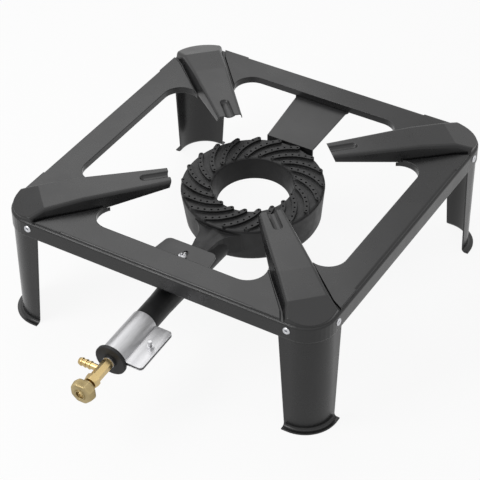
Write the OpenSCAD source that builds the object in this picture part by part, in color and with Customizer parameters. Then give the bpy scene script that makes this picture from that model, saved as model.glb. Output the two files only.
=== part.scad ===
// Gas wok burner: a pressed sheet stand with four pan arms, a cast ring burner
// and a brass needle valve at the end of its mixing tube.
// Millimetres, +Z up. The gas side faces -Y and the pan rests on the arm tips.

/* [Stand] */
// Side of the square stand over its skirt
stand_w = 400; // [340:1:460]
// Corner radius of the skirt
stand_corner_r = 34; // [24:1:44]
// Height of the rail panels over the floor
stand_z = 148; // [130:1:170]
// Thickness of the pressed sheet
sheet_t = 1.2; // [1:0.1:2]
// Height of the skirt below the rail panels
skirt_h = 22; // [18:0.5:28]
// Width of a rail from the skirt to the opening
rail_w = 33.5; // [28:0.5:40]
// Height of the rail panels over the pressed ledge
panel_rise = 3; // [2:0.1:4]
// Width of the ledge round the rail panels and pads
ledge_w = 2; // [1.6:0.1:5]
// Depth of the folded lip round the opening
lip_h = 8; // [6:0.5:12]
// Corner radius of the opening beside each arm
opening_r = 22; // [12:1:26]
// Radius of the skirt's top edge
skirt_edge_r = 2; // [1.6:0.1:2.5]
// Radius of the rail panel's edges
panel_edge_r = 2.5; // [1.6:0.1:2.5]

/* [Pan arms] */
// Distance of an arm tip from the centre
arm_tip_s = 92; // [84:1:110]
// Height of an arm tip over the floor
arm_tip_z = 161; // [155:0.5:185]
// Half width of an arm at its tip
arm_tip_w = 13.4; // [10:0.1:16]
// Distance from the centre where the level arm starts to fall
knee_s = 192; // [150:1:205]
// Distance of the pad's crease from the centre
crease_s = 235; // [215:1:245]
// Height of the crease over the rail panels
crease_rise = 9.4; // [6:0.1:12]
// Half width of an arm at the crease
crease_w = 23; // [20:0.5:28]
// Half width of a corner pad at the corner
pad_w = 32; // [28:0.5:36]
// Height of a pad's outer end below the rail panels
pad_sink = 0.8; // [0.4:0.1:1.6]
// Depth of the arm's side flanges at the tip
tip_flange_h = 7.5; // [6:0.5:10]
// Depth of the arm's side flanges from the knee outwards
flange_h = 19; // [16:0.5:22]
// Lean of the arm's side flanges
flange_draft = 13; // [6:1:18]
// Radius of the arm's top edges
arm_edge_r = 4; // [2.5:0.5:5]
// Width of the valley between an arm and a rail panel
valley_w = 5.5; // [3:0.5:8]
// Length of the groove pressed into an arm tip
groove_len = 34; // [20:1:45]
// Radius of that groove
groove_r = 6.5; // [5:0.1:8]
// Depth of that groove
groove_d = 3.6; // [2:0.1:4.5]
// Setback of a flange's lower corner at the tip
tip_setback = 3; // [1:0.5:6]

/* [Legs] */
// Width of a leg's flank at the skirt
leg_top_w = 49; // [44:0.5:56]
// Width of a leg's flank at the foot
leg_foot_w = 40.5; // [36:0.5:50]
// Thickness of the leg sheet
leg_t = 1.5; // [1:0.1:2]
// Bend radius of the foot's outward lip, inside
foot_bend_r = 3.5; // [2:0.1:5]
// Width of the flat strip that the foot stands on
foot_strip_w = 3; // [1.5:0.1:4]
// Distance of a rivet from the stand's corner
rivet_d = 38.6; // [37:0.1:41]
// Distance of a rivet below the rail panels
rivet_drop = 10.8; // [8:0.1:13]
// Diameter of a rivet's shank
rivet_shank_d = 4.8; // [4:0.1:5.5]
// Diameter of a rivet's head
rivet_head_d = 8.4; // [7.5:0.1:10]

/* [Brackets] */
// Thickness of the bracket straps
strap_t = 2; // [1.5:0.1:3]
// Width of the front bracket at the rail
front_strap_w = 76; // [60:1:80]
// Width of the front bracket at the burner
front_strap_tip_w = 64; // [50:1:70]
// Distance that the front bracket reaches inwards from the rail
front_strap_reach = 45.5; // [38:0.5:52]
// Depth of the front bracket's plate below the rail panels
front_strap_drop = 23; // [20:0.5:26]
// Corner radius of the front bracket
front_strap_r = 7; // [3:0.5:10]
// Width of the rear bracket at the rail
rear_strap_w = 67; // [56:1:76]
// Width of the rear bracket at the burner
rear_strap_tip_w = 60; // [50:1:66]
// Diameter of the bracket screws
bracket_screw_d = 5; // [4:0.5:6]

/* [Burner] */
// Distance of the ring's centre behind the stand's centre
ring_y = 7.4; // [0:0.1:12]
// Height of the ring's flat top over the floor
ring_top_z = 126; // [118:0.5:130]
// Height of the ring's outer wall
ring_h = 45; // [38:0.5:48]
// Outer radius at the top
ring_top_r = 81.8; // [74:0.1:88]
// Outer radius at the bottom
ring_foot_r = 77.6; // [70:0.1:84]
// Radius of the centre hole at the top
hole_top_r = 46; // [38:0.1:50]
// Radius of the centre hole at the bottom
hole_foot_r = 42; // [34:0.1:48]
// Height of the ring's inner wall
hole_h = 27; // [22:0.5:34]
// Radius of the ring's top edges
ring_edge_r = 3.2; // [2:0.1:4]
// Wall of the casting
cast_t = 5; // [4:0.1:7]
// Number of swirled ribs
rib_n = 20; // [12:1:24]
// Number of gas ports in a rib
port_n = 7; // [4:1:8]
// Diameter of a gas port
port_d = 2.3; // [1.2:0.1:2.6]
// Width of a rib
rib_w = 5.6; // [4:0.1:7]
// Height of a rib
rib_h = 3; // [1.5:0.1:4]
// Turn of a rib from its inner to its outer end
rib_sweep = 31; // [10:1:40]
// Bulge of a rib's arc
rib_bow = 4.6; // [3:0.1:6]

/* [Mixing tube] */
// Downward slope of the tube towards the valve
tube_tilt = 3.3; // [0:0.1:4]
// Height of the tube's axis at the ring's centre
tube_z = 102.5; // [99:0.5:104]
// Outer radius of the tube under the shutter
tube_r = 14; // [12:0.1:15]
// Outer radius of the tube at the neck
neck_r = 17.8; // [16:0.1:19]
// Bore radius of the tube
bore_r = 10.5; // [8:0.1:11]
// Half width of the neck's flat top
fair_w = 12; // [9:0.5:14]
// Radius of the hollow fillets beside the neck
fair_r = 30; // [20:1:36]
// Distance of the end plate's face from the ring's centre
plate_u = 291.4; // [280:0.1:310]
// Radius of the end plate
plate_r = 18.5; // [16.5:0.1:22]
// Thickness of the end plate
plate_t = 4.5; // [3.5:0.1:6]
// Length of the air windows
window_len = 24; // [16:1:26]
// Width of the air windows
window_w = 15; // [10:0.5:17]

/* [Air shutter] */
// Length of the shutter sleeve
shutter_len = 60; // [50:1:65]
// Sheet of the shutter sleeve
shutter_t = 1; // [0.6:0.1:1.4]
// Reach of the clamping ears from the tube's axis
ear_reach = 36; // [30:0.5:42]
// Gap between the ears
ear_gap = 2; // [1:0.1:3]
// Corner radius of the ears
ear_r = 4; // [2:0.5:6]
// Travel of the shutter towards the stand
shutter_travel = 30; // [20:1:30]
// Diameter of the shutter's clamping screw
shutter_screw_d = 4; // [3:0.5:5]

/* [Valve] */
// Size of the valve body across its flats
body_af = 11; // [10.6:0.1:13]
// Length of the valve body
body_len = 25; // [22:0.5:30]
// Diameter of the threaded nose
nose_d = 8; // [7:0.1:9]
// Length of the injector
jet_len = 13; // [9:0.5:16]
// Bore of the injector
jet_d = 1.4; // [0.8:0.1:2]
// Distance of the hose tail from the valve's seat on the end plate
tail_u = 11.5; // [10:0.5:14]
// Reach of the hose tail from the valve's axis
tail_reach = 25.5; // [20:0.5:40]
// Crest diameter of the hose tail's barbs
barb_d = 8.4; // [7:0.1:10]
// Root diameter of the hose tail
barb_root_d = 7; // [6:0.1:7.6]
// Bore of the hose tail
tail_bore_d = 4; // [3:0.1:5]
// Size of the gland nut across its flats
gland_af = 14; // [13:0.5:17]
// Length of the gland nut
gland_len = 8.5; // [7:0.5:11]
// Diameter of the spindle
spindle_d = 5; // [4:0.1:5.6]
// Travel of the spindle from shut to full on
spindle_travel = 3; // [2:0.5:3.5]

/* [Knob] */
// Diameter of the control knob
knob_d = 28; // [24:0.5:34]
// Depth of the control knob
knob_len = 11.5; // [10:0.5:16]
// Number of finger flutes
flute_n = 8; // [6:1:12]
// Depth of the finger flutes
flute_d = 1.3; // [0.6:0.1:2]
// Diameter of the knob's hub ring
hub_d = 9; // [8:0.1:12]

/* [Fits] */
// Gap between pieces that are fixed side by side
seat_gap = 0.1; // [0.05:0.01:0.2]
// Gap between pieces that move past each other
run_gap = 0.3; // [0.2:0.05:0.5]
// Radial gap of a turning or screwed fit
turn_gap = 0.08; // [0.05:0.01:0.1]

/* [Hidden] */

// One overrun serves every cut
over = 1;
round_fn = 64;
corner_fn = 40;
edge_fn = 16;
hole_fn = 20;
hull_fn = 32;
arc_steps = 4;
// Thickness of the slices that the arms are blended between
slice_t = 0.1 * over;

// Stand: levels and lines
half = stand_w / 2;
ledge_z = stand_z - panel_rise;
skirt_low_z = stand_z - skirt_h;
lip_z = stand_z - lip_h;
opening_half = half - rail_w;
rivet_z = stand_z - rivet_drop;

// Arms: a line along the diagonal from the tip to the crease and on to the pad
crease_z = stand_z + crease_rise;
corner_s = (half - stand_corner_r) * sqrt(2) + stand_corner_r;
arm_end_s = half * sqrt(2);
arm_taper = (crease_w - arm_tip_w) / (crease_s - arm_tip_s);
pad_taper = (pad_w - crease_w) / (corner_s - crease_s);
pad_slope = (crease_rise + pad_sink) / (corner_s - crease_s);
arm_end_z = crease_z - pad_slope * (arm_end_s - crease_s);
flange_flare = (arm_tip_z - ledge_z) * tan(flange_draft);
web_s = (opening_half - pad_w / 2) * sqrt(2) - opening_r * 2;

// Feet: the lip bends a quarter turn out to a flat strip
foot_out = foot_bend_r + foot_strip_w;
leg_in = sheet_t + seat_gap;
leg_top_z = ledge_z - sheet_t - seat_gap - skirt_edge_r;

// Tube line: distances u run from the ring's centre towards the valve
taper_u = plate_u - plate_t - shutter_len - shutter_travel - over;
neck_u = ring_top_r + cast_t * 3;
shutter_u = plate_u - plate_t - run_gap - shutter_len;
shutter_in_r = tube_r + run_gap;
shutter_out_r = shutter_in_r + shutter_t;
window_u = plate_u - plate_t - run_gap - window_len;
ear_screw_u = shutter_u + shutter_len / 2;
ear_screw_x = (shutter_out_r + ear_reach) / 2 + shutter_screw_d / 2;

// Valve line
washer_t = 1.5;
washer_d = body_af * 1.23;
plate_boss_h = 1.5;
plate_boss_d = washer_d + plate_boss_h;
body_u = plate_u + plate_boss_h + washer_t;
body_end_u = body_u + body_len;
body_bore_d = spindle_d * 1.48;
seat_u = body_u + tail_u - body_bore_d / 2;
gland_thread_d = body_af * 0.855;
gland_thread_len = 5;
gland_u = body_end_u + seat_gap;
gland_end_u = gland_u + gland_len;
knob_gap = 2;
collar_len = 5;
collar_d = spindle_d * 2.4;
knob_u = gland_end_u + knob_gap + collar_len;
knob_face_u = knob_u + knob_len;
packing_len = 3;
ring_d = 1.5;
knob_screw_d = 2.6;
knob_screw_head_d = 5.4;
knob_screw_head_h = 1.6;
hub_recess = 2.4;
nose_len = (plate_t + plate_boss_h + washer_t) * 1.8;

// Brackets
front_plate_z = stand_z - front_strap_drop;
rail_inner_y = opening_half + sheet_t + seat_gap;
strap_flange_h = lip_h - sheet_t - seat_gap;
front_screw_y = opening_half - front_strap_reach * 0.52;
ring_r = max(ring_top_r, ring_foot_r);
ring_clear = 2 * seat_gap + strap_t / 4;
rear_lug_y = ring_y + ring_r + ring_clear;
rear_bend_z = ring_top_z + ring_r * sin(tube_tilt) + ring_clear;
rear_screw_z = ring_top_z - strap_t * 3;
slot_len = bracket_screw_d * 1.6;
slot_w = bracket_screw_d * 1.3;
screw_head_d = bracket_screw_d * 2;
screw_head_h = bracket_screw_d * 0.6;
lug_h = screw_head_d * 1.5;
lug_w = bracket_screw_d * 5;

// The whole part is centred on the floor between the knob and the rear feet
front_reach = (knob_face_u) * cos(tube_tilt) + knob_d / 2 * sin(tube_tilt) - ring_y;
rear_reach = half - leg_in + foot_out;
frame_y = (front_reach - rear_reach) / 2;

iron = "#2c2c2e";
enamel = "#2f3032";
steel = "#c9c9c6";
brass = "#c2a35c";
rubber = "#1c1c1c";

module placed() {
  translate([0, frame_y, 0]) children();
}

// Puts its children on the tube's axis: local z runs out to the valve, local y points up
module on_tube(u) {
  placed() translate([0, ring_y, tube_z]) rotate([90 + tube_tilt, 0, 0]) translate([0, 0, u]) children();
}

// Arc points from angle a0 to a1 about a centre
function arc(c, r, a0, a1, n) =
  [for (i = [0 : n]) c + r * [cos(a0 + (a1 - a0) * i / n), sin(a0 + (a1 - a0) * i / n)]];

// Rounded square of the stand, drawn in from its skirt by an inset
module stand_outline(inset) {
  c = half - stand_corner_r;
  s = half - inset;
  square([2 * s, 2 * c], center = true);
  square([2 * c, 2 * s], center = true);
  for (x = [-c, c], y = [-c, c]) translate([x, y]) circle(stand_corner_r - inset, $fn = corner_fn);
}

// Half width of an arm at a distance s from the centre, along its top edge
function arm_w(s) = s < crease_s ? arm_tip_w + arm_taper * (s - arm_tip_s)
  : crease_w + pad_taper * (s - crease_s);

// Plan of the four arms, grown by a margin, from distance s0 out to s1
module arm_strips(grow, s0, s1) {
  side = [for (s = s1 > crease_s ? [s0, crease_s, s1] : [s0, s1]) [s, arm_w(s) + grow]];
  n = len(side);
  for (a = [45 : 90 : 315]) rotate(a)
    polygon(concat(side, [for (i = [n - 1 : -1 : 0]) [side[i][0], -side[i][1]]]));
}

// Opening of the stand between the arms, with round corners
module opening_plan(grow) {
  offset(r = opening_r + grow, $fn = corner_fn) offset(delta = -opening_r) difference() {
    square(2 * opening_half, center = true);
    arm_strips(flange_flare, 0, arm_end_s);
  }
}

// Cross-section of an arm as a thin slice at a distance s: leaning flanges and rounded top edges
module arm_slice(s, z, flange, inset, setback) {
  w = arm_w(s);
  drop = inset > 0 ? z - lip_z + flange : flange;
  lean = 45 + flange_draft / 2;
  r = arm_edge_r - inset;
  wi = w - inset / tan(lean);
  zi = z - inset;
  foot_x = wi + (drop - inset) * tan(flange_draft);
  right = concat([[foot_x, z - drop]], arc([wi - r / tan(lean), zi - r], r, flange_draft, 90, arc_steps));
  left = [for (i = [len(right) - 1 : -1 : 0]) [-right[i][0], right[i][1]]];
  multmatrix([[1, 0, -setback / drop, s + setback * z / drop], [0, 1, 0, 0], [0, 0, 1, 0], [0, 0, 0, 1]])
    rotate([90, 0, 90]) linear_extrude(slice_t) polygon(concat(right, left));
}

// One arm with its pad as a solid bar, drawn in by an inset for the underside
module arm_bar(inset) {
  tip = arm_tip_s - (inset > 0 ? over : 0);
  back = inset > 0 ? 0 : tip_setback;
  hull() {
    arm_slice(tip, arm_tip_z, tip_flange_h, inset, back);
    arm_slice(knee_s, arm_tip_z, flange_h, inset, 0);
  }
  hull() {
    arm_slice(knee_s, arm_tip_z, flange_h, inset, 0);
    arm_slice(crease_s, crease_z, flange_h, inset, 0);
  }
  hull() {
    arm_slice(crease_s, crease_z, flange_h, inset, 0);
    arm_slice(arm_end_s, arm_end_z, flange_h, inset, 0);
  }
}

// Groove along an arm tip: a round-ended bar sunk into the top
module tip_groove(grow) {
  lift = groove_r - groove_d;
  translate([arm_tip_s, 0, arm_tip_z + lift]) rotate([0, 90, 0]) hull() {
    translate([0, 0, -groove_r]) sphere(groove_r + grow, $fn = edge_fn);
    translate([0, 0, groove_len - groove_r]) sphere(groove_r + grow, $fn = edge_fn);
  }
}

module arms(inset) {
  intersection() {
    for (a = [45 : 90 : 315]) rotate(a) difference() {
      arm_bar(inset);
      tip_groove(inset);
    }
    translate([0, 0, -over]) linear_extrude(2 * stand_z) stand_outline(ledge_w + inset);
  }
}

// Raised rail panels with a rounded outer edge, cut off beside the arms
module rail_panels(inset) {
  z1 = stand_z - inset;
  z0 = inset > 0 ? -over : ledge_z - sheet_t / 2;
  r = panel_edge_r - inset;
  y0 = ledge_w + inset;
  y1 = half - web_s / sqrt(2);
  profile = concat(
    [[-half + y0, z0]],
    arc([-half + y0 + r, z1 - r], r, 180, 90, arc_steps),
    [[-half + y1, z1], [-half + y1, z0]]
  );
  intersection() {
    for (a = [0 : 90 : 270]) rotate(a) translate([-half, 0, 0]) rotate([90, 0, 90])
      linear_extrude(stand_w) polygon(profile);
    translate([0, 0, -2 * over]) linear_extrude(2 * stand_z) difference() {
      stand_outline(ledge_w + inset);
      arm_strips(valley_w + inset, 0, arm_end_s);
    }
  }
}

// Block under the ledge, with the skirt's rounded top edge
module ledge_block() {
  e = skirt_edge_r;
  hull() {
    translate([0, 0, skirt_low_z]) linear_extrude(slice_t) stand_outline(0);
    for (i = [0 : arc_steps]) {
      a = 90 * i / arc_steps;
      translate([0, 0, ledge_z - e + e * sin(a) - slice_t]) linear_extrude(slice_t)
        stand_outline(e - e * cos(a));
    }
  }
}

module rivet_places(corner) {
  rotate(corner) {
    translate([half - rivet_d, half, rivet_z]) rotate([-90, 0, 0]) children();
    translate([half, half - rivet_d, rivet_z]) rotate([0, 90, 0]) children();
  }
}

module pressed_frame() {
  color(enamel) placed() difference() {
    union() {
      difference() {
        union() {
          ledge_block();
          rail_panels(0);
        }
        translate([0, 0, -over]) linear_extrude(stand_z + 2 * over) {
          opening_plan(0);
          arm_strips(flange_flare + seat_gap, 0, web_s);
          circle(arm_tip_s, $fn = round_fn);
        }
      }
      arms(0);
    }
    // The underside follows the top, one sheet below it
    difference() {
      union() {
        translate([0, 0, -over]) linear_extrude(ledge_z - sheet_t + over) stand_outline(sheet_t);
        rail_panels(sheet_t);
      }
      translate([0, 0, -2 * over]) linear_extrude(stand_z + 2 * over) opening_plan(sheet_t);
    }
    arms(sheet_t);
    translate([0, 0, -over]) linear_extrude(lip_z + over) stand_outline(sheet_t);
    for (corner = [0 : 90 : 270]) rivet_places(corner)
      translate([0, 0, -2 * sheet_t])
        cylinder(d = rivet_shank_d + 2 * seat_gap, h = 3 * sheet_t, $fn = hole_fn);
  }
}

// Wall of a leg with its foot lip, as a cross-section: x runs outwards, y is the height
module leg_profile() {
  r = foot_bend_r;
  polygon(concat(
    [[-leg_t, leg_top_z]],
    arc([r, r + leg_t], r + leg_t, 180, 270, arc_steps * 2),
    [[foot_out, 0], [foot_out, leg_t]],
    arc([r, r + leg_t], r, 270, 180, arc_steps * 2),
    [[0, leg_top_z]]
  ));
}

module leg(corner) {
  c = half - stand_corner_r;
  r = stand_corner_r - leg_in;
  lean = (leg_top_w - leg_foot_w) / skirt_low_z;
  top_w = leg_foot_w + lean * leg_top_z;
  big = foot_out + over;
  color(enamel) placed() rotate(corner) difference() {
    intersection() {
      union() {
        translate([c, c, 0]) rotate_extrude(angle = 90, $fn = round_fn) translate([r, 0]) leg_profile();
        translate([c, c + r, 0]) rotate([90, 0, -90]) linear_extrude(leg_top_w) mirror([1, 0])
          leg_profile();
        translate([c + r, c, 0]) rotate([90, 0, 0]) linear_extrude(leg_top_w) leg_profile();
      }
      translate([0, half + big, 0]) rotate([90, 0, 0]) linear_extrude(2 * half) polygon([
        [half - leg_foot_w, 0], [half + big, 0], [half + big, leg_top_z], [half - top_w, leg_top_z]
      ]);
      translate([half + big, 0, 0]) rotate([90, 0, -90]) linear_extrude(2 * half) mirror([1, 0]) polygon([
        [half - leg_foot_w, 0], [half + big, 0], [half + big, leg_top_z], [half - top_w, leg_top_z]
      ]);
    }
    rotate(-corner) rivet_places(corner)
      translate([0, 0, -3 * sheet_t - leg_t])
        cylinder(d = rivet_shank_d + 2 * seat_gap, h = 4 * sheet_t, $fn = round_fn);
  }
}

module leg_front_left() {
  leg(180);
}

module leg_front_right() {
  leg(270);
}

module leg_rear_left() {
  leg(90);
}

module leg_rear_right() {
  leg(0);
}

// Hollow rivets through the skirt and the leg, with a rolled head outside
module rivets(corner) {
  hollow = rivet_shank_d * 0.58;
  head_h = rivet_head_d * 0.2;
  grip = leg_in + leg_t;
  color(steel) placed() rivet_places(corner) rotate_extrude($fn = round_fn) polygon([
    [0, -grip - head_h], [rivet_head_d * 0.4, -grip - head_h], [rivet_head_d * 0.43, -grip - seat_gap],
    [rivet_shank_d / 2, -grip - seat_gap], [rivet_shank_d / 2, seat_gap / 2],
    [rivet_head_d / 2, seat_gap / 2],
    [rivet_head_d / 2, head_h * 0.45], [rivet_head_d * 0.42, head_h * 0.9], [rivet_head_d * 0.36, head_h],
    [hollow * 0.62, head_h * 0.8], [hollow / 2, head_h * 0.4], [hollow / 2, -sheet_t], [0, -sheet_t]
  ]);
}

module rivets_front_left() {
  rivets(180);
}

module rivets_front_right() {
  rivets(270);
}

module rivets_rear_left() {
  rivets(90);
}

module rivets_rear_right() {
  rivets(0);
}

// A strip of sheet that follows a bent centre line in the y-z plane
module bent_strip(points, w) {
  n = len(points);
  function dir(i) = let (d = points[i + 1] - points[i]) d / norm(d);
  function side(d) = [-d[1], d[0]];
  function edge(i, k) = i == 0 ? points[0] + k * strap_t * side(dir(0))
    : i == n - 1 ? points[n - 1] + k * strap_t * side(dir(n - 2))
    : let (a = side(dir(i - 1)), b = side(dir(i)), m = a + b)
      points[i] + k * strap_t * m * 2 / (m * m);
  outline = concat([for (i = [0 : n - 1]) edge(i, 0)], [for (i = [n - 1 : -1 : 0]) edge(i, 1)]);
  translate([-w / 2, 0, 0]) rotate([90, 0, 90]) linear_extrude(w) polygon(outline);
}

// Plate under the front rail that the burner's neck hangs from
module front_bracket() {
  y0 = -rail_inner_y - strap_t;
  y1 = -opening_half + front_strap_reach;
  r = front_strap_r;
  w0 = front_strap_w / 2;
  w1 = front_strap_tip_w / 2;
  color(enamel) placed() difference() {
    intersection() {
      bent_strip([
        [y0, lip_z + strap_flange_h * 0.8], [y0, front_plate_z - strap_t], [y1, front_plate_z - strap_t]
      ], front_strap_w);
      translate([0, 0, -over]) linear_extrude(2 * stand_z) polygon(concat(
        [[w0, y0 - 2 * strap_t]], arc([w1 - r, y1 - r], r, 0, 90, 2 * arc_steps),
        arc([r - w1, y1 - r], r, 90, 180, 2 * arc_steps), [[-w0, y0 - 2 * strap_t]]
      ));
    }
    translate([0, -front_screw_y, front_plate_z - 2 * strap_t]) linear_extrude(3 * strap_t) {
      for (dy = [0, slot_len]) translate([0, dy]) circle(d = slot_w, $fn = round_fn);
      translate([-slot_w / 2, 0]) square([slot_w, slot_len]);
    }
  }
}

// Pan-head screw with a cross recess, pointing down from the origin
module pan_screw(d, head_d, head_h, shank) {
  recess_w = head_d * 0.16;
  difference() {
    union() {
      rotate_extrude($fn = round_fn) polygon([
        [0, 0], [head_d / 2, 0], [head_d / 2, head_h * 0.45], [head_d * 0.4, head_h * 0.85],
        [head_d * 0.26, head_h], [0, head_h]
      ]);
      translate([0, 0, -shank]) cylinder(d = d, h = shank + head_h / 2, $fn = round_fn);
    }
    for (a = [0, 90]) rotate(a) translate([-head_d * 0.3, -recess_w / 2, head_h * 0.5])
      cube([head_d * 0.6, recess_w, head_h]);
  }
}

module front_bracket_screw() {
  color(steel) placed() translate([0, -front_screw_y, front_plate_z + seat_gap / 2])
    pan_screw(bracket_screw_d, screw_head_d, screw_head_h, strap_t + bracket_screw_d * 2);
}

// Sloping strap from the rear rail to the ring, turned down at the ring
module rear_bracket() {
  y0 = rail_inner_y;
  y1 = rear_lug_y + seat_gap + strap_t;
  wr = rear_strap_w / 2;
  wt = rear_strap_tip_w / 2;
  flare = strap_t;
  color(enamel) placed() difference() {
    intersection() {
      bent_strip([
        [y1, rear_screw_z - screw_head_d * 0.7], [y1, rear_bend_z - strap_t],
        [y0, lip_z - strap_t - seat_gap],
        [y0 + strap_t, lip_z - strap_t - seat_gap], [y0 + strap_t, lip_z + strap_flange_h * 0.8]
      ], rear_strap_w + 2 * flare);
      translate([0, 0, -over]) linear_extrude(2 * stand_z) polygon([
        [-wt, y1 - 4 * strap_t], [wt, y1 - 4 * strap_t], [wt, y1], [wr, y0 - 2 * flare],
        [wr + flare, y0 - flare / 2], [wr + flare, y0 + 4 * strap_t],
        [-wr - flare, y0 + 4 * strap_t], [-wr - flare, y0 - flare / 2], [-wr, y0 - 2 * flare], [-wt, y1]
      ]);
    }
    translate([0, y1 - 3 * strap_t, rear_screw_z]) rotate([-90, 0, 0])
      cylinder(d = bracket_screw_d + strap_t / 4, h = 6 * strap_t, $fn = round_fn);
  }
}

module rear_bracket_screw() {
  color(steel) placed() translate([0, rear_lug_y + strap_t + 2 * seat_gap, rear_screw_z])
    rotate([-90, 0, 0])
    pan_screw(bracket_screw_d, screw_head_d, screw_head_h, strap_t + bracket_screw_d * 1.6);
}

// Swirled rib: its centre line is an arc through three points
rib_r0 = hole_top_r + rib_w * 0.6;
rib_r1 = ring_top_r - rib_w * 0.55;
rib_p0 = [rib_r0, 0];
rib_p1 = rib_r1 * [cos(rib_sweep), -sin(rib_sweep)];
rib_chord = norm(rib_p1 - rib_p0);
rib_arc_r = rib_chord * rib_chord / (8 * rib_bow) + rib_bow / 2;
rib_dir = (rib_p1 - rib_p0) / rib_chord;
rib_c = (rib_p0 + rib_p1) / 2 + (rib_arc_r - rib_bow) * [rib_dir[1], -rib_dir[0]];
rib_half_turn = asin(rib_chord / 2 / rib_arc_r);
rib_mid_a = atan2(-rib_dir[0], rib_dir[1]) + 180;
rib_phase = 2.4;

// Outline of one rib with round ends
function rib_outline() =
  let (a0 = rib_mid_a - rib_half_turn, a1 = rib_mid_a + rib_half_turn, h = rib_w / 2)
  concat(
    arc(rib_c, rib_arc_r + h, a0, a1, 2 * arc_steps),
    [for (p = arc(rib_c + rib_arc_r * [cos(a1), sin(a1)], h, a1, a1 + 180, arc_steps)) p],
    arc(rib_c, rib_arc_r - h, a1, a0, 2 * arc_steps),
    [for (p = arc(rib_c + rib_arc_r * [cos(a0), sin(a0)], h, a0 + 180, a0 + 360, arc_steps)) p]
  );

module ribs() {
  for (i = [0 : rib_n - 1]) rotate(rib_phase + i * 360 / rib_n)
    translate([0, 0, ring_top_z - rib_h]) linear_extrude(2 * rib_h) polygon(rib_outline());
}

module ports() {
  for (i = [0 : rib_n - 1], k = [0 : port_n - 1]) {
    a = rib_mid_a + rib_half_turn * (1 - 2 * k / (port_n - 1));
    rotate(rib_phase + i * 360 / rib_n)
      translate([rib_c[0] + rib_arc_r * cos(a), rib_c[1] + rib_arc_r * sin(a), ring_top_z - 2 * cast_t])
      cylinder(d = port_d, h = 3 * cast_t, $fn = edge_fn);
  }
}

// Ring of the burner as a revolved cross-section
module ring_outside() {
  z0 = ring_top_z - ring_h;
  e = cast_t / 2;
  er = ring_edge_r;
  rotate_extrude($fn = 1.5 * round_fn) polygon(concat(
    [[hole_foot_r, ring_top_z - hole_h], [ring_foot_r - e * 1.4, z0], [ring_foot_r - e * 0.4, z0 + e * 0.3],
      [ring_foot_r, z0 + e * 1.2]],
    arc([ring_top_r - er, ring_top_z - er], er, 0, 90, arc_steps),
    arc([hole_top_r + er, ring_top_z - er], er, 90, 180, arc_steps)
  ));
}

// Gas chamber inside the ring, its walls thinner beside the ports
module ring_chamber() {
  wall = cast_t * 0.6;
  z0 = ring_top_z - ring_h + cast_t * 1.3;
  z1 = ring_top_z - cast_t;
  rotate_extrude($fn = 1.5 * round_fn) polygon([
    [hole_foot_r + wall, z1 - hole_h + cast_t * 2], [ring_foot_r - wall, z0], [ring_top_r - wall, z1],
    [hole_top_r + wall, z1]
  ]);
}

// The neck's flat top with hollow fillets in plan, cut to a sloping side view
module neck_fairing() {
  y_in = ring_foot_r - 3 * cast_t;
  y_arc = ring_top_r + fair_r * 0.74;
  y_flat = ring_top_r + fair_r * 0.8;
  y_end = y_flat + 6 * cast_t;
  top = ring_top_z - cast_t * 1.2;
  low = tube_z - tube_r / 2;
  right = arc([fair_w + fair_r, -y_arc], fair_r, 180, 115, arc_steps + 1);
  left = [for (i = [len(right) - 1 : -1 : 0]) [-right[i][0], right[i][1]]];
  intersection() {
    translate([0, 0, low]) linear_extrude(top - low + over) polygon(concat(
      [[-fair_w / 2, -y_end], [fair_w / 2, -y_end]], right,
      [[fair_w * 3, -y_in], [-fair_w * 3, -y_in]], left
    ));
    translate([-fair_w * 4, 0, 0]) rotate([90, 0, 90]) linear_extrude(fair_w * 8) polygon([
      [-y_in + over, low - over], [-y_in + over, top], [-y_flat, top],
      [-y_end - over, tube_z + tube_r * 0.9],
      [-y_end - over, low - over]
    ]);
  }
}

// Leans its children with the tube, which the whole head follows
module leaning() {
  translate([0, 0, tube_z]) rotate([tube_tilt, 0, 0]) translate([0, 0, -tube_z]) children();
}

module tube_line(u) {
  translate([0, 0, tube_z]) rotate([90, 0, 0]) translate([0, 0, u]) children();
}

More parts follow.
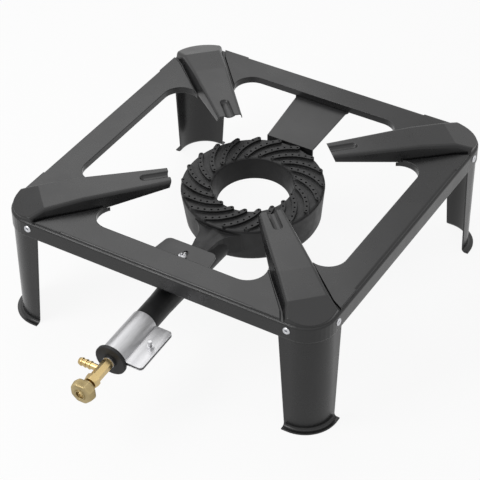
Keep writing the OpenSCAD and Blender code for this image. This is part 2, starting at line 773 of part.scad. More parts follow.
// Cast ring, neck, mixing tube and end plate in one piece
module burner_casting() {
  boss_r = bracket_screw_d * 1.7;
  plate_low_z = front_plate_z - strap_t - seat_gap;
  screw_y = -front_screw_y - ring_y;
  boss_low_z = tube_z + screw_y * sin(tube_tilt);
  root_u = ring_foot_r - 2 * cast_t;
  root_r = neck_r * 1.1;
  plate_edge = plate_t * 0.2;
  color(iron) placed() translate([0, ring_y, 0]) difference() {
    union() {
      leaning() {
        ring_outside();
        ribs();
        neck_fairing();
        tube_line(0) rotate_extrude($fn = round_fn) polygon([
          [0, root_u], [root_r, root_u], [neck_r, neck_u + cast_t], [tube_r, taper_u],
          [tube_r, plate_u - plate_t],
          [plate_r - plate_edge, plate_u - plate_t], [plate_r, plate_u - plate_t + plate_edge],
          [plate_r, plate_u - plate_edge], [plate_r - plate_edge, plate_u], [plate_boss_d / 2, plate_u],
          [plate_boss_d / 2, plate_u + plate_boss_h], [0, plate_u + plate_boss_h]
        ]);
      }
      translate([0, screw_y, boss_low_z])
        cylinder(r = boss_r, h = plate_low_z - boss_low_z, $fn = round_fn);
      translate([-lug_w / 2, ring_foot_r - 2 * cast_t, rear_screw_z - lug_h / 2])
        cube([lug_w, rear_lug_y - ring_y - ring_foot_r + 2 * cast_t, lug_h]);
    }
    leaning() {
      ring_chamber();
      tube_line(0) rotate_extrude($fn = round_fn) polygon([
        [0, root_u - 2 * cast_t], [root_r - cast_t, root_u - 2 * cast_t], [neck_r - cast_t, neck_u],
        [bore_r, taper_u], [bore_r, plate_u - plate_t], [nose_d / 2 + turn_gap, plate_u - plate_t],
        [nose_d / 2 + turn_gap, plate_u + plate_boss_h + over], [0, plate_u + plate_boss_h + over]
      ]);
      ports();
      // Air windows through the tube's upper and lower walls, rounded at their ends
      tube_line(window_u + window_len / 2) rotate([90, 0, 0]) linear_extrude(4 * tube_r, center = true) {
        square([window_w, window_len - window_w], center = true);
        for (y = [-0.5, 0.5]) translate([0, y * (window_len - window_w)])
          circle(d = window_w, $fn = round_fn);
      }
    }
    // Threaded holes for the bracket screws
    translate([0, screw_y, plate_low_z - bracket_screw_d * 2.4])
      cylinder(d = bracket_screw_d + 2 * turn_gap, h = bracket_screw_d * 3, $fn = round_fn);
    translate([0, rear_lug_y - ring_y + over, rear_screw_z]) rotate([90, 0, 0])
      cylinder(d = bracket_screw_d + 2 * turn_gap, h = bracket_screw_d * 1.8 + over, $fn = round_fn);
  }
}

// Air shutter: a split sleeve whose ends turn out into two clamping ears
module air_shutter() {
  ear_w = ear_reach;
  color(steel) on_tube(shutter_u) difference() {
    union() {
      cylinder(r = shutter_out_r, h = shutter_len, $fn = round_fn);
      for (s = [-1, 1]) translate([0, s * (ear_gap + shutter_t) / 2, 0]) rotate([90, 0, 0])
        translate([0, 0, -shutter_t / 2]) linear_extrude(shutter_t) {
          square([ear_w - ear_r, shutter_len]);
          translate([0, ear_r]) square([ear_w, shutter_len - 2 * ear_r]);
          for (y = [ear_r, shutter_len - ear_r]) translate([ear_w - ear_r, y]) circle(ear_r, $fn = hull_fn);
        }
    }
    translate([0, 0, -over]) cylinder(r = shutter_in_r, h = shutter_len + 2 * over, $fn = round_fn);
    translate([0, -ear_gap / 2, -over]) cube([ear_w + over, ear_gap, shutter_len + 2 * over]);
    translate([ear_screw_x, 0, shutter_len / 2]) rotate([90, 0, 0])
      cylinder(d = shutter_screw_d + 2 * seat_gap, h = 4 * ear_half_t + 4 * over, center = true, $fn = round_fn);
  }
}

shutter_nut_h = shutter_screw_d * 0.8;
ear_half_t = ear_gap / 2 + shutter_t;

module shutter_screw() {
  up = ear_half_t + shutter_nut_h + shutter_screw_d * 1.6;
  color(steel) on_tube(ear_screw_u) translate([ear_screw_x, -ear_half_t - seat_gap / 2, 0])
    rotate([90, 0, 0])
    pan_screw(shutter_screw_d, shutter_screw_d * 2, shutter_screw_d * 0.6, up + ear_half_t);
}

module shutter_nut() {
  color(steel) on_tube(ear_screw_u) translate([ear_screw_x, ear_half_t + seat_gap / 2, 0])
    rotate([-90, 0, 0])
    difference() {
      cylinder(d = shutter_screw_d * 2, h = shutter_nut_h, $fn = 6);
      translate([0, 0, -over])
        cylinder(d = shutter_screw_d + 2 * turn_gap, h = shutter_nut_h + 2 * over, $fn = round_fn);
    }
}

// Hexagonal bar across flats
module hex_bar(af, h) {
  rotate(30) cylinder(d = af / cos(30), h = h, $fn = 6);
}

module injector() {
  nose_in_u = body_u - nose_len;
  jet_af = nose_d * 1.12;
  color(brass) on_tube(nose_in_u - jet_len * 0.55) difference() {
    union() {
      translate([0, 0, jet_len * 0.35]) hex_bar(jet_af, jet_len * 0.65);
      cylinder(d1 = jet_af * 0.45, d2 = jet_af * 0.8, h = jet_len * 0.35, $fn = round_fn);
    }
    translate([0, 0, -over]) cylinder(d = jet_d, h = jet_len, $fn = round_fn);
    translate([0, 0, jet_len * 0.3]) cylinder(d = nose_d * 0.4, h = jet_len, $fn = round_fn);
    translate([0, 0, jet_len * 0.55]) cylinder(d = nose_d + 2 * turn_gap, h = jet_len, $fn = round_fn);
  }
}

module valve_washer() {
  color(steel) on_tube(plate_u + plate_boss_h + seat_gap / 2) difference() {
    cylinder(d = washer_d, h = washer_t - seat_gap, $fn = round_fn);
    translate([0, 0, -over]) cylinder(d = nose_d + 2 * turn_gap, h = washer_t + 2 * over, $fn = round_fn);
  }
}

// Hexagonal valve body with a threaded nose, a spindle bore and a side socket
module valve_body() {
  color(brass) on_tube(body_u) difference() {
    union() {
      translate([0, 0, -nose_len]) cylinder(d = nose_d, h = nose_len + over, $fn = round_fn);
      hex_bar(body_af, body_len);
      translate([0, 0, body_len - over])
        cylinder(d = gland_thread_d, h = gland_thread_len + over, $fn = round_fn);
    }
    translate([0, 0, -nose_len - over])
      cylinder(d = spindle_d * 0.5, h = nose_len + body_len, $fn = round_fn);
    translate([0, 0, seat_u - body_u])
      cylinder(d = body_bore_d, h = body_len + gland_thread_len, $fn = round_fn);
    translate([0, 0, tail_u]) rotate([0, -90, 0])
      cylinder(d = barb_root_d + 2 * turn_gap, h = body_af, $fn = round_fn);
  }
}

// Hose tail with three barbs, screwed into the side of the valve body
module hose_tail() {
  socket_x = body_bore_d / 2 + run_gap;
  flat_x = body_af / 2 + seat_gap;
  collar = barb_d * 0.36;
  barb = (tail_reach - flat_x - collar) / 3.4;
  lead = barb * 0.4;
  land = barb * 0.3;
  start = flat_x + collar;
  crest = barb_d / 2;
  root = barb_root_d / 2;
  barb_points = [for (i = [0 : 2]) each [
    [root, start + i * barb + barb * 0.25], [crest, start + i * barb + barb * 0.25],
    [crest, start + i * barb + barb * 0.25 + land], [root, start + (i + 1) * barb]
  ]];
  color(brass) on_tube(body_u + tail_u) rotate([0, -90, 0]) rotate_extrude($fn = round_fn)
    polygon(concat(
      [[tail_bore_d / 2, socket_x], [root, socket_x], [root, flat_x], [crest, flat_x], [crest, start],
       [root, start]],
      barb_points,
      [[root, tail_reach - lead / 2], [root - lead / 4, tail_reach], [tail_bore_d / 2, tail_reach]]
    ));
}

module gland_packing() {
  color(rubber) on_tube(body_end_u + gland_thread_len - packing_len) difference() {
    cylinder(d = body_bore_d - 2 * turn_gap, h = packing_len, $fn = round_fn);
    translate([0, 0, -over])
      cylinder(d = spindle_d + 2 * turn_gap, h = packing_len + 2 * over, $fn = round_fn);
  }
}

module gland_nut() {
  color(brass) on_tube(gland_u) difference() {
    intersection() {
      hex_bar(gland_af, gland_len);
      translate([0, 0, -over])
        cylinder(d1 = gland_af * 1.3, d2 = gland_af * 1.02, h = gland_len + over, $fn = round_fn);
    }
    translate([0, 0, -over])
      cylinder(d = gland_thread_d + 2 * turn_gap, h = gland_thread_len + seat_gap + over, $fn = round_fn);
    translate([0, 0, -over])
      cylinder(d = spindle_d + 2 * turn_gap, h = gland_len + 2 * over, $fn = round_fn);
  }
}

// O-ring in the spindle's groove, which travels with the spindle
o_ring_u = body_end_u - spindle_travel - ring_d * 2.5;
groove_root_d = spindle_d - ring_d * 0.8;

module spindle_o_ring() {
  color(rubber) on_tube(o_ring_u) rotate_extrude($fn = round_fn)
    translate([groove_root_d / 2 + turn_gap + ring_d / 2, 0]) circle(d = ring_d, $fn = hull_fn);
}

// Spindle with a needle tip, an O-ring groove and a flat-sided end for the knob
module valve_spindle() {
  tip_u = seat_u - spindle_d * 0.2;
  needle = spindle_d * 0.9;
  end_u = knob_face_u - hub_recess - 1.5 * seat_gap;
  color(steel) on_tube(0) difference() {
    rotate_extrude($fn = round_fn) polygon([
      [0, tip_u], [spindle_d * 0.08, tip_u], [spindle_d / 2, tip_u + needle],
      [spindle_d / 2, o_ring_u - ring_d * 0.6], [groove_root_d / 2, o_ring_u - ring_d * 0.6],
      [groove_root_d / 2, o_ring_u + ring_d * 0.6], [spindle_d / 2, o_ring_u + ring_d * 0.6],
      [spindle_d / 2, end_u], [0, end_u]
    ]);
    translate([-spindle_d, spindle_d * 0.3, gland_end_u + knob_gap / 2])
      cube([2 * spindle_d, spindle_d, knob_face_u]);
    translate([0, 0, end_u - knob_screw_d * 2.4])
      cylinder(d = knob_screw_d + 2 * turn_gap, h = knob_screw_d * 3, $fn = round_fn);
  }
}

// Dished hand knob with finger flutes and a hub collar behind
module control_knob() {
  r = knob_d / 2;
  flute_r = knob_d * 0.22;
  color(brass) on_tube(knob_u) difference() {
    rotate_extrude($fn = round_fn) polygon([
      [0, -collar_len], [collar_d / 2, -collar_len], [collar_d / 2, 0], [r * 0.82, 0],
      [r * 0.95, knob_len * 0.08],
      [r, knob_len * 0.2], [r, knob_len * 0.45], [r * 0.93, knob_len * 0.62], [r * 0.72, knob_len * 0.84],
      [hub_d * 0.68, knob_len * 0.9], [hub_d * 0.59, knob_len], [hub_d / 2, knob_len],
      [hub_d * 0.41, knob_len - hub_recess], [0, knob_len - hub_recess]
    ]);
    for (i = [0 : flute_n - 1]) rotate(i * 360 / flute_n) translate([r + flute_r - flute_d, 0, -over])
      cylinder(r = flute_r, h = knob_len + 2 * over, $fn = round_fn);
    difference() {
      translate([0, 0, -collar_len - over])
        cylinder(d = spindle_d + 2 * turn_gap, h = collar_len + knob_len, $fn = round_fn);
      translate([-spindle_d, spindle_d * 0.3 + turn_gap, -collar_len])
        cube([2 * spindle_d, spindle_d, 2 * knob_len]);
    }
    cylinder(d = knob_screw_d + 4 * turn_gap, h = knob_len, $fn = round_fn);
  }
}

module knob_screw() {
  color(brass) on_tube(knob_face_u - hub_recess + seat_gap / 2)
    pan_screw(knob_screw_d, knob_screw_head_d, knob_screw_head_h, knob_screw_d * 1.8);
}

pressed_frame();
leg_front_left();
leg_front_right();
leg_rear_left();
leg_rear_right();
rivets_front_left();
rivets_front_right();
rivets_rear_left();
rivets_rear_right();
front_bracket();
front_bracket_screw();
rear_bracket();
rear_bracket_screw();
burner_casting();
air_shutter();
shutter_screw();
shutter_nut();
injector();
valve_washer();
valve_body();
hose_tail();
gland_packing();
gland_nut();
spindle_o_ring();
valve_spindle();
control_knob();
knob_screw();
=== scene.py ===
"""Looks of the gas wok burner: finishes, fine pieces, light and camera round the CAD frame."""

import math

import bmesh
import bpy
from mathutils import Matrix, Vector

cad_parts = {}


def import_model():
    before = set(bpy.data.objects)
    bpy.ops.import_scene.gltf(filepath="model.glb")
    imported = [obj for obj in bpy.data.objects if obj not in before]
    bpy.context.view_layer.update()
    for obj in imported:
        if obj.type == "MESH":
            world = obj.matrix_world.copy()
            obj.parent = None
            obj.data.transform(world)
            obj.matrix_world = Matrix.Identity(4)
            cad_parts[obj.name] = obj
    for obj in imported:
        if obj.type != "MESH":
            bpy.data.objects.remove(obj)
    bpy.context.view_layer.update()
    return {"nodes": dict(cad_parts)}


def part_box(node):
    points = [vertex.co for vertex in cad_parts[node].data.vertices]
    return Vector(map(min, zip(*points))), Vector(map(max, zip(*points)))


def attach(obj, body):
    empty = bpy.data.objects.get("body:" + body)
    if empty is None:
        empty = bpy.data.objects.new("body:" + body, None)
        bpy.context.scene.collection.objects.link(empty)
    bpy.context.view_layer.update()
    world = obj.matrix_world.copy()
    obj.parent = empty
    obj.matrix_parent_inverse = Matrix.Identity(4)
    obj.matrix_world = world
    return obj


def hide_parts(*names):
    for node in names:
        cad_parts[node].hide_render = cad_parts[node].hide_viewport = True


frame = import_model()
nodes = frame["nodes"]

# Lengths are in metres, colours are linear and lamp powers are in watts.

# Camera solved for the photograph
IMAGE_SIDE = 480
CAMERA_AZIMUTH = math.radians(31.22)
CAMERA_ELEVATION = math.radians(39.12)
CAMERA_ROLL = math.radians(-0.42)
CAMERA_DISTANCE = 1.9729
CAMERA_SLIDE = (-0.0116, -0.02075)
CAMERA_CLIP = (0.05, 50)
FOCAL_PIXELS = 1722.19
SENSOR_MM = 36.0
TARGET_HEIGHT = 0.075

# Middle of the stand, and the axis of the mixing tube and the valve
FRAME_Y = sum(corner.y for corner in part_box("pressed_frame")) / 2
TILT = math.radians(3.3)
AXIS_SIDE = Vector((1, 0, 0))
AXIS_OUT = Vector((0, -math.cos(TILT), -math.sin(TILT)))
AXIS_UP = Vector((0, -math.sin(TILT), math.cos(TILT)))

# Light: the ambient level, the lamps round the stand's middle (name, place, size, power) and
# the height they aim at
AMBIENT = 0.25
LAMPS = (
    ("rear_softbox", (-0.46, 0.42, 0.85), 0.75, 2.1),
    ("top_softbox", (0, 0, 2.4), 3.0, 13),
    ("front_softbox", (-0.55, -0.90, 1.05), 0.7, 8.5),
)
AIM_HEIGHT = 0.1

# Floor, and how much of it shows as plain white
FLOOR_SIDE = 12.0
FLOOR_GREY = 0.93
FLOOR_ROUGHNESS = 0.9
FLOOR_WHITE_SHARE = 0.9

# Noise of the finishes, the parts of its value that their colour and roughness are spread
# over, and the samples of the rounded edges
NOISE_DETAIL = 4.0
NOISE_ROUGHNESS = 0.55
TINT_SPAN = (0.35, 0.65)
SHEEN_SPAN = (0.3, 0.7)
BEVEL_SAMPLES = 8

# Baked enamel and its orange peel
ENAMEL_TINT_SCALE = 9.0
ENAMEL_SHEEN_SCALE = 30.0
PEEL_SCALE = 300.0
PEEL_DETAIL = 2.0
PEEL_DEPTH = 0.0001
PEEL_STRENGTH = 0.12
ENAMEL_GLOSS = 0.42

# Painted sand casting
CASTING_TINT = ((0.007, 0.007, 0.0075), (0.013, 0.013, 0.0135))
CASTING_TINT_SCALE = 25.0
CASTING_ROUGHNESS = (0.42, 0.55)
CASTING_SHEEN_SCALE = 90.0
CASTING_GRAIN_SCALE = 500.0
CASTING_GRAIN_DEPTH = 0.0003
CASTING_GRAIN_STRENGTH = 0.25
CASTING_EDGE_R = 0.0009
CASTING_GLOSS = 0.32

# Metal: how much finer its sheen and its relief are than its tint
METAL_SHEEN_FINER = 2
METAL_RELIEF_FINER = 20
METAL_RELIEF_DETAIL = 3.0
METAL_RELIEF_STRENGTH = 0.4

# Rubber of the seals
RUBBER_TINT = ((0.012, 0.012, 0.012), (0.022, 0.022, 0.022))
RUBBER_TINT_SCALE = 200.0
RUBBER_ROUGHNESS = 0.7

# Edges of a turned or cast piece are sharp past this angle
SMOOTH_ANGLE = math.radians(35)

# Control knob, and its rim's profile as shares of its radius and of its length past the collar
KNOB_R = 0.0138
COLLAR_R = 0.006
COLLAR_LEN = 0.005
SPINDLE_R = 0.0026
RIM_PROFILE = (
    (0.86, 0), (0.96, 0.04), (1, 0.12), (0.995, 0.28), (0.98, 0.44), (0.96, 0.60),
    (0.935, 0.74), (0.90, 0.83), (0.84, 0.89), (0.74, 0.91), (0.56, 0.915),
)

# Hub ring on the knob's face: its profile as shares of the hub's radius and of that length,
# its recess, and how far it stays behind the CAD knob's face
HUB_R = 0.0048
HUB_PROFILE = (
    (1.44, 0.915), (1.36, 0.88), (1.28, 0.90), (1.24, 0.99), (1.20, 1), (1.05, 1), (0.98, 0.97),
)
HUB_FLOOR_SHARE = 0.94
HUB_CENTRE_R = 0.0006
HUB_RECESS = 0.0024
HUB_INSET = 0.00004

# Flat-sided lobes of the knob, with rounded corners: they grow from one share of its radius
# over another
LOBE_N = 8
LOBE_ROUND = 0.02
LOBE_SHARPNESS = 90
LOBE_LIFT = 0.002
LOBE_START = 0.5
LOBE_GROWTH = 0.35

# Straight knurl on the knob's rim, with mesh steps per tooth: it grows in the same way
KNURL_N = 56
KNURL_STEPS = 4
KNURL_DEPTH = 0.0004
KNURL_START = 0.86
KNURL_GROWTH = 0.06

# Hose tail: each barb's profile gives shares of its pitch with their radii, and the mouth
# and the bore narrow by the other shares
BARB_N = 3
BARB_R = 0.0047
BARB_ROOT_R = 0.0037
BARB_PROFILE = ((0.16, BARB_ROOT_R), (0.24, BARB_R * 0.98), (0.34, BARB_R), (0.95, BARB_ROOT_R))
MOUTH_SHARE = 0.92
TAIL_BORE_R = 0.0024
TAIL_BORE_TAPER = 0.98
TAIL_ROOT_LEN = 0.008
TAIL_EXTRA = 0.0025
TAIL_STEPS = 48


def new_material(name):
    """A node material: its tree, its Principled shader and its object coordinates."""
    mat = bpy.data.materials.new(name)
    mat.use_nodes = True
    tree = mat.node_tree
    shader = tree.nodes["Principled BSDF"]
    coords = tree.nodes.new("ShaderNodeTexCoord")
    return mat, tree, shader, coords.outputs["Object"]


def noise(tree, coords, scale, detail=NOISE_DETAIL, stretch=None):
    """A noise texture in object space, stretched along an axis if asked."""
    node = tree.nodes.new("ShaderNodeTexNoise")
    node.inputs["Scale"].default_value = scale
    node.inputs["Detail"].default_value = detail
    node.inputs["Roughness"].default_value = NOISE_ROUGHNESS
    if stretch:
        mapping = tree.nodes.new("ShaderNodeMapping")
        mapping.inputs["Scale"].default_value = stretch
        tree.links.new(coords, mapping.inputs["Vector"])
        coords = mapping.outputs["Vector"]
    tree.links.new(coords, node.inputs["Vector"])
    return node.outputs["Fac"]


def tint(tree, fac, low, high, shader):
    """Colours a shader between two linear colours."""
    node = tree.nodes.new("ShaderNodeValToRGB")
    for element, position, colour in zip(node.color_ramp.elements, TINT_SPAN, (low, high)):
        element.position = position
        element.color = (*colour, 1)
    tree.links.new(fac, node.inputs["Fac"])
    tree.links.new(node.outputs["Color"], shader.inputs["Base Color"])


def sheen(tree, fac, low, high, shader):
    """Varies a shader's roughness between two values."""
    node = tree.nodes.new("ShaderNodeMapRange")
    node.inputs["From Min"].default_value = SHEEN_SPAN[0]
    node.inputs["From Max"].default_value = SHEEN_SPAN[1]
    node.inputs["To Min"].default_value = low
    node.inputs["To Max"].default_value = high
    tree.links.new(fac, node.inputs["Value"])
    tree.links.new(node.outputs["Result"], shader.inputs["Roughness"])


def relief(tree, height, depth, strength, edge, shader):
    """Gives a shader fine relief, over edges rounded to a radius."""
    rounded = tree.nodes.new("ShaderNodeBevel")
    rounded.samples = BEVEL_SAMPLES
    rounded.inputs["Radius"].default_value = edge
    node = tree.nodes.new("ShaderNodeBump")
    node.inputs["Distance"].default_value = depth
    node.inputs["Strength"].default_value = strength
    tree.links.new(height, node.inputs["Height"])
    tree.links.new(rounded.outputs["Normal"], node.inputs["Normal"])
    tree.links.new(node.outputs["Normal"], shader.inputs["Normal"])


def enamel(name, low, high, rough, edge):
    """Baked black enamel: a soft gloss with faint orange peel."""
    mat, tree, shader, coords = new_material(name)
    tint(tree, noise(tree, coords, ENAMEL_TINT_SCALE), low, high, shader)
    sheen(tree, noise(tree, coords, ENAMEL_SHEEN_SCALE), *rough, shader)
    peel = noise(tree, coords, PEEL_SCALE, PEEL_DETAIL)
    relief(tree, peel, PEEL_DEPTH, PEEL_STRENGTH, edge, shader)
    shader.inputs["Specular IOR Level"].default_value = ENAMEL_GLOSS
    return mat


def casting(name):
    """Painted sand casting: grainy, with a duller sheen."""
    mat, tree, shader, coords = new_material(name)
    tint(tree, noise(tree, coords, CASTING_TINT_SCALE), *CASTING_TINT, shader)
    sheen(tree, noise(tree, coords, CASTING_SHEEN_SCALE), *CASTING_ROUGHNESS, shader)
    grain = noise(tree, coords, CASTING_GRAIN_SCALE)
    relief(tree, grain, CASTING_GRAIN_DEPTH, CASTING_GRAIN_STRENGTH, CASTING_EDGE_R, shader)
    shader.inputs["Specular IOR Level"].default_value = CASTING_GLOSS
    return mat


def metal(name, low, high, rough, stretch=None, scale=60.0, depth=0.00005, edge=0.0003):
    """Bare or plated metal, with streaks along the rolling direction if it is stretched."""
    mat, tree, shader, coords = new_material(name)
    shader.inputs["Metallic"].default_value = 1.0
    tint(tree, noise(tree, coords, scale, stretch=stretch), low, high, shader)
    streaks = noise(tree, coords, scale * METAL_SHEEN_FINER, stretch=stretch)
    sheen(tree, streaks, *rough, shader)
    fine = noise(tree, coords, scale * METAL_RELIEF_FINER, METAL_RELIEF_DETAIL, stretch)
    relief(tree, fine, depth, METAL_RELIEF_STRENGTH, edge, shader)
    return mat


def rubber(name):
    """Matt black rubber."""
    mat, tree, shader, coords = new_material(name)
    tint(tree, noise(tree, coords, RUBBER_TINT_SCALE), *RUBBER_TINT, shader)
    shader.inputs["Roughness"].default_value = RUBBER_ROUGHNESS
    return mat


BLACK = enamel("black_enamel", low=(0.007, 0.007, 0.0075), high=(0.012, 0.012, 0.0125),
               rough=(0.24, 0.33), edge=0.0016)
BRACKET_BLACK = enamel("bracket_enamel", low=(0.009, 0.009, 0.0095), high=(0.014, 0.014, 0.0145),
                       rough=(0.28, 0.38), edge=0.0006)
IRON = casting("burner_iron")
ZINC = metal("zinc_plate", low=(0.38, 0.38, 0.39), high=(0.54, 0.54, 0.55), rough=(0.22, 0.32))
SHEET = metal("shutter_sheet", low=(0.42, 0.42, 0.43), high=(0.60, 0.60, 0.61),
              rough=(0.40, 0.50), stretch=(1, 0.05, 1), scale=110.0, depth=0.00002)
RIVET_STEEL = metal("rivet_steel", low=(0.50, 0.51, 0.53), high=(0.68, 0.68, 0.70),
                    rough=(0.24, 0.36))
BRASS = metal("turned_brass", low=(0.46, 0.34, 0.155), high=(0.56, 0.425, 0.205),
              rough=(0.22, 0.30), scale=40.0, depth=0.000005, edge=0.00012)
KNOB_BRASS = metal("knob_brass", low=(0.33, 0.26, 0.135), high=(0.45, 0.36, 0.19),
                   rough=(0.36, 0.46), scale=90.0, depth=0.00002, edge=0.00012)
SEAL = rubber("seal_rubber")

FINISH = (
    (BLACK, ("pressed_frame", "leg_front_left", "leg_front_right", "leg_rear_left",
             "leg_rear_right")),
    (BRACKET_BLACK, ("front_bracket", "rear_bracket")),
    (RIVET_STEEL, ("rivets_front_left", "rivets_front_right", "rivets_rear_left",
                   "rivets_rear_right")),
    (ZINC, ("front_bracket_screw", "rear_bracket_screw", "shutter_screw", "shutter_nut",
            "valve_washer")),
    (IRON, ("burner_casting",)),
    (SHEET, ("air_shutter",)),
    (BRASS, ("injector", "valve_body", "hose_tail", "gland_nut", "valve_spindle", "knob_screw")),
    (SEAL, ("gland_packing", "spindle_o_ring")),
    (KNOB_BRASS, ("control_knob",)),
)


def finish_nodes():
    """Gives every CAD node its material."""
    for mat, names in FINISH:
        for name in names:
            mesh = nodes[name].data
            mesh.materials.clear()
            mesh.materials.append(mat)


def solid(name, rows, mat):
    """A closed mesh skinned over rows of points, shaded smooth up to sharp edges."""
    steps = len(rows[0])
    faces = []
    for k in range(len(rows) - 1):
        near, far = k * steps, (k + 1) * steps
        for i in range(steps):
            j = (i + 1) % steps
            faces.append((near + i, near + j, far + j, far + i))
    last = (len(rows) - 1) * steps
    faces.append(tuple(range(steps)))
    faces.append(tuple(range(last, last + steps)))
    mesh = bpy.data.meshes.new(name)
    mesh.from_pydata([point for row in rows for point in row], [], faces)
    mesh.materials.append(mat)
    bm = bmesh.new()
    bm.from_mesh(mesh)
    bmesh.ops.recalc_face_normals(bm, faces=bm.faces)
    for face in bm.faces:
        face.smooth = True
    for edge in bm.edges:
        edge.smooth = edge.calc_face_angle(math.pi) < SMOOTH_ANGLE
    bm.to_mesh(mesh)
    bm.free()
    obj = bpy.data.objects.new(name, mesh)
    bpy.context.scene.collection.objects.link(obj)
    return obj


def on_valve(name):
    """A turned node's back and front along the valve's axis, and its axis as a place function."""
    points = [nodes[name].matrix_world @ vert.co for vert in nodes[name].data.vertices]
    along, side, lift = ([p.dot(axis) for p in points] for axis in (AXIS_OUT, AXIS_SIDE, AXIS_UP))
    middle = (AXIS_SIDE * ((min(side) + max(side)) / 2)
              + AXIS_UP * ((min(lift) + max(lift)) / 2))

    def place(u, r, angle):
        across = AXIS_SIDE * (r * math.cos(angle)) + AXIS_UP * (r * math.sin(angle))
        return middle + AXIS_OUT * u + across

    return min(along), max(along), place


def growth(value, start, span):
    """0 up to start, 1 past start + span, and a straight rise between."""
    return min(1.0, max(0.0, (value - start) / span))


def lobe_radius(angle):
    """Radius of the lobed outline as a share of the full one: flat sides with soft corners."""
    pitch = 2 * math.pi / LOBE_N
    turn = (angle + pitch / 2) % pitch - pitch / 2
    flat = math.cos(pitch / 2) / math.cos(turn)
    soft = math.exp((1 - flat - LOBE_ROUND) * LOBE_SHARPNESS)
    return min(1.0, 1 - math.log(1 + soft) / LOBE_SHARPNESS + LOBE_LIFT)


def knob():
    """Cast brass hand knob: flat-sided lobes, a fine straight knurl and a raised hub ring."""
    back, front, place = on_valve("control_knob")
    front -= HUB_INSET
    foot = back + COLLAR_LEN
    length = front - foot
    hub_floor = front - HUB_RECESS
    profile = [(SPINDLE_R, back), (COLLAR_R, back), (COLLAR_R, foot)]
    profile += [(KNOB_R * share, foot + length * along) for share, along in RIM_PROFILE]
    profile += [(HUB_R * share, foot + length * along) for share, along in HUB_PROFILE]
    profile += [(HUB_R * HUB_FLOOR_SHARE, hub_floor), (HUB_CENTRE_R, hub_floor)]
    steps = KNURL_N * KNURL_STEPS
    angles = [2 * math.pi * i / steps for i in range(steps)]
    rows = []
    for r, u in profile:
        lobed = growth(r / KNOB_R, LOBE_START, LOBE_GROWTH)
        knurled = growth(r / KNOB_R, KNURL_START, KNURL_GROWTH)
        row = []
        for angle in angles:
            tooth = KNURL_DEPTH * (0.5 - 0.5 * math.cos(KNURL_N * angle)) * knurled
            row.append(place(u, r * (1 - lobed * (1 - lobe_radius(angle))) - tooth, angle))
        rows.append(row)
    obj = solid("knob_fine", rows, KNOB_BRASS)
    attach(obj, "knob")
    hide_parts("control_knob")


def hose_tail():
    """Turned brass hose tail: a shoulder, three sharp barbs and a bevelled mouth with its bore."""
    low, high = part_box("hose_tail")
    middle = (low + high) / 2
    tip = low.x - TAIL_EXTRA
    start = high.x - TAIL_ROOT_LEN
    pitch = (start - tip) / BARB_N
    profile = [(high.x, BARB_ROOT_R), (start, BARB_ROOT_R)]
    for k in range(BARB_N):
        profile += [(start - pitch * (k + along), r) for along, r in BARB_PROFILE]
    profile += [(tip, BARB_ROOT_R * MOUTH_SHARE), (tip, TAIL_BORE_R),
                (tip + pitch, TAIL_BORE_R * TAIL_BORE_TAPER)]
    angles = [2 * math.pi * i / TAIL_STEPS for i in range(TAIL_STEPS)]
    rows = [[(x, middle.y + r * math.cos(angle), middle.z + r * math.sin(angle))
             for angle in angles] for x, r in profile]
    obj = solid("hose_tail_fine", rows, BRASS)
    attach(obj, "stand")
    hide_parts("hose_tail")


def camera():
    """The camera at the photograph's viewing angle."""
    az, el = CAMERA_AZIMUTH, CAMERA_ELEVATION
    back = Vector((math.sin(az) * math.cos(el), -math.cos(az) * math.cos(el), math.sin(el)))
    right = Vector((math.cos(az), math.sin(az), 0))
    up = back.cross(right)
    c, s = math.cos(CAMERA_ROLL), math.sin(CAMERA_ROLL)
    right, up = c * right + s * up, -s * right + c * up
    place = Vector((0, FRAME_Y, TARGET_HEIGHT)) + back * CAMERA_DISTANCE
    place += right * CAMERA_SLIDE[0] + up * CAMERA_SLIDE[1]
    data = bpy.data.cameras.new("photo_camera")
    data.sensor_width = SENSOR_MM
    data.lens = FOCAL_PIXELS * SENSOR_MM / IMAGE_SIDE
    data.clip_start, data.clip_end = CAMERA_CLIP
    cam = bpy.data.objects.new("photo_camera", data)
    bpy.context.scene.collection.objects.link(cam)
    turn = Matrix((right, up, back)).transposed().to_4x4()
    cam.matrix_world = Matrix.Translation(place) @ turn
    bpy.context.scene.camera = cam


def seen_rays(tree):
    """1 for the rays that show the background: camera, glossy and transmission rays."""
    path = tree.nodes.new("ShaderNodeLightPath")
    total = path.outputs["Is Camera Ray"]
    for kind in ("Is Glossy Ray", "Is Transmission Ray"):
        either = tree.nodes.new("ShaderNodeMath")
        either.operation = "MAXIMUM"
        tree.links.new(total, either.inputs[0])
        tree.links.new(path.outputs[kind], either.inputs[1])
        total = either.outputs[0]
    return total


def mix_shaders(tree, fac, first, second, output):
    """Shows the second shader as far as fac says, and the first one otherwise."""
    mix = tree.nodes.new("ShaderNodeMixShader")
    tree.links.new(fac, mix.inputs["Fac"])
    tree.links.new(first.outputs[0], mix.inputs[1])
    tree.links.new(second.outputs[0], mix.inputs[2])
    tree.links.new(mix.outputs[0], output.inputs["Surface"])


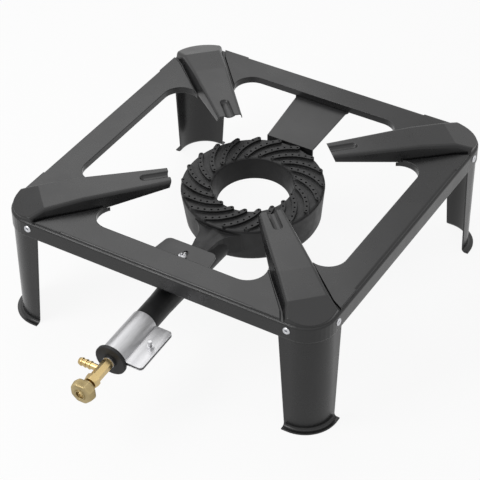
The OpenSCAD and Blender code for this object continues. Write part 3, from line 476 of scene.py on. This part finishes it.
def floor():
    """A plain pale floor that keeps the object's shadow."""
    mesh = bpy.data.meshes.new("floor")
    half = FLOOR_SIDE / 2
    corners = [(-half, -half, 0), (half, -half, 0), (half, half, 0), (-half, half, 0)]
    mesh.from_pydata(corners, [], [(0, 1, 2, 3)])
    obj = bpy.data.objects.new("floor", mesh)
    bpy.context.scene.collection.objects.link(obj)
    mat, tree, shader, _ = new_material("floor_white")
    shader.inputs["Base Color"].default_value = (FLOOR_GREY, FLOOR_GREY, FLOOR_GREY, 1)
    shader.inputs["Roughness"].default_value = FLOOR_ROUGHNESS
    shader.inputs["Specular IOR Level"].default_value = 0.0
    white = tree.nodes.new("ShaderNodeEmission")
    white.inputs["Strength"].default_value = 1.0
    share = tree.nodes.new("ShaderNodeMath")
    share.operation = "MULTIPLY"
    share.inputs[1].default_value = FLOOR_WHITE_SHARE
    tree.links.new(seen_rays(tree), share.inputs[0])
    mix_shaders(tree, share.outputs[0], shader, white, tree.nodes["Material Output"])
    mesh.materials.append(mat)


def background(tree, strength):
    """A white background shader for the world."""
    node = tree.nodes.new("ShaderNodeBackground")
    node.inputs["Color"].default_value = (1, 1, 1, 1)
    node.inputs["Strength"].default_value = strength
    return node


def world():
    """Soft ambient light, and a white background where it is seen."""
    studio = bpy.data.worlds.new("studio")
    bpy.context.scene.world = studio
    studio.use_nodes = True
    tree = studio.node_tree
    tree.nodes.clear()
    out = tree.nodes.new("ShaderNodeOutputWorld")
    ambient = background(tree, AMBIENT)
    mix_shaders(tree, seen_rays(tree), ambient, background(tree, 1.0), out)


def lights():
    """Square soft lamps: a key lamp behind the object, a large weak top one and a front one."""
    aim = Vector((0, FRAME_Y, AIM_HEIGHT))
    for name, (x, y, z), size, power in LAMPS:
        data = bpy.data.lights.new(name, "AREA")
        data.shape = "SQUARE"
        data.size = size
        data.energy = power
        obj = bpy.data.objects.new(name, data)
        obj.location = (x, FRAME_Y + y, z)
        obj.rotation_euler = (obj.location - aim).to_track_quat("Z", "Y").to_euler()
        bpy.context.scene.collection.objects.link(obj)


finish_nodes()
knob()
hose_tail()
floor()
world()
lights()
camera()
bpy.context.scene.view_settings.view_transform = "Standard"
